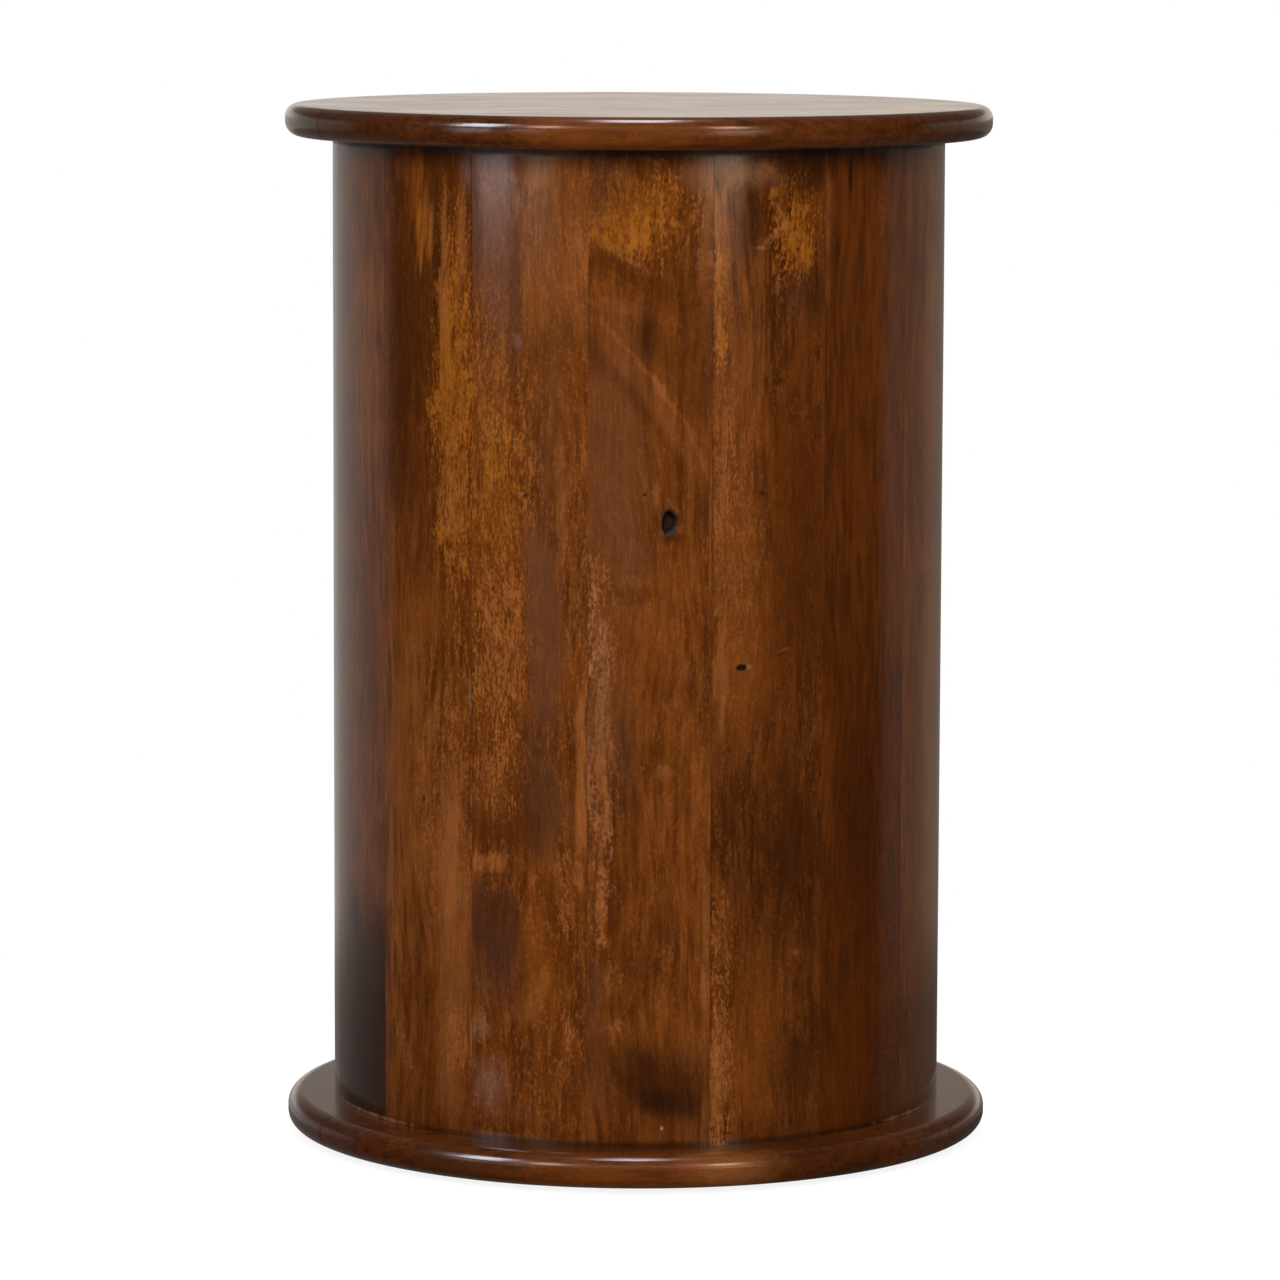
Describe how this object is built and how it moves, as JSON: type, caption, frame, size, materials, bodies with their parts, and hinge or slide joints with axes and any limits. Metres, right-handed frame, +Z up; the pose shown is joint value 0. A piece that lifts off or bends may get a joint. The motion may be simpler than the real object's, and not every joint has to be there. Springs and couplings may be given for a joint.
{
  "type": "drum side table",
  "caption": "Round drum side table of stained wood: a drum of vertical staves between an overhanging round top and a matching round base, both with rounded edges.",
  "frame": {"origin": "on the floor, at the centre of the table", "axes": "+Z up through the middle of the drum, front towards -Y, boards of the top and base along X"},
  "size_m": [0.35, 0.35, 0.513],
  "materials": {
    "drum_wood": "chestnut stain under gloss lacquer",
    "top_wood": "chestnut stain under gloss lacquer",
    "base_wood": "chestnut stain under gloss lacquer",
    "raw_wood": "sawn and unfinished",
    "joint_wood": "planed and unfinished",
    "screw_steel": "zinc plated",
    "nail_steel": "bright",
    "glide_plastic": "matt brown"
  },
  "bodies": {
    "root": {"base_board_1": "base_wood", "base_board_2": "base_wood", "base_board_3": "base_wood", "base_board_4": "base_wood", "base_dowels": "joint_wood", "base_screws": "screw_steel", "glide_nails": "nail_steel", "glide_pads": "glide_plastic", "lower_ring_segment_1": "raw_wood", "lower_ring_segment_2": "raw_wood", "lower_ring_segment_3": "raw_wood", "lower_ring_segment_4": "raw_wood", "lower_stave_screws": "screw_steel", "stave_01": "drum_wood", "stave_02": "drum_wood", "stave_03": "drum_wood", "stave_04": "drum_wood", "stave_05": "drum_wood", "stave_06": "drum_wood", "stave_07": "drum_wood", "stave_08": "drum_wood", "stave_09": "drum_wood", "stave_10": "drum_wood", "stave_11": "drum_wood", "stave_12": "drum_wood", "stave_13": "drum_wood", "stave_14": "drum_wood", "stave_15": "drum_wood", "stave_16": "drum_wood", "stave_splines": "joint_wood", "top_board_1": "top_wood", "top_board_2": "top_wood", "top_board_3": "top_wood", "top_board_4": "top_wood", "top_dowels": "joint_wood", "top_screws": "screw_steel", "upper_ring_segment_1": "raw_wood", "upper_ring_segment_2": "raw_wood", "upper_ring_segment_3": "raw_wood", "upper_ring_segment_4": "raw_wood", "upper_stave_screws": "screw_steel"}
  },
  "joints": []
}
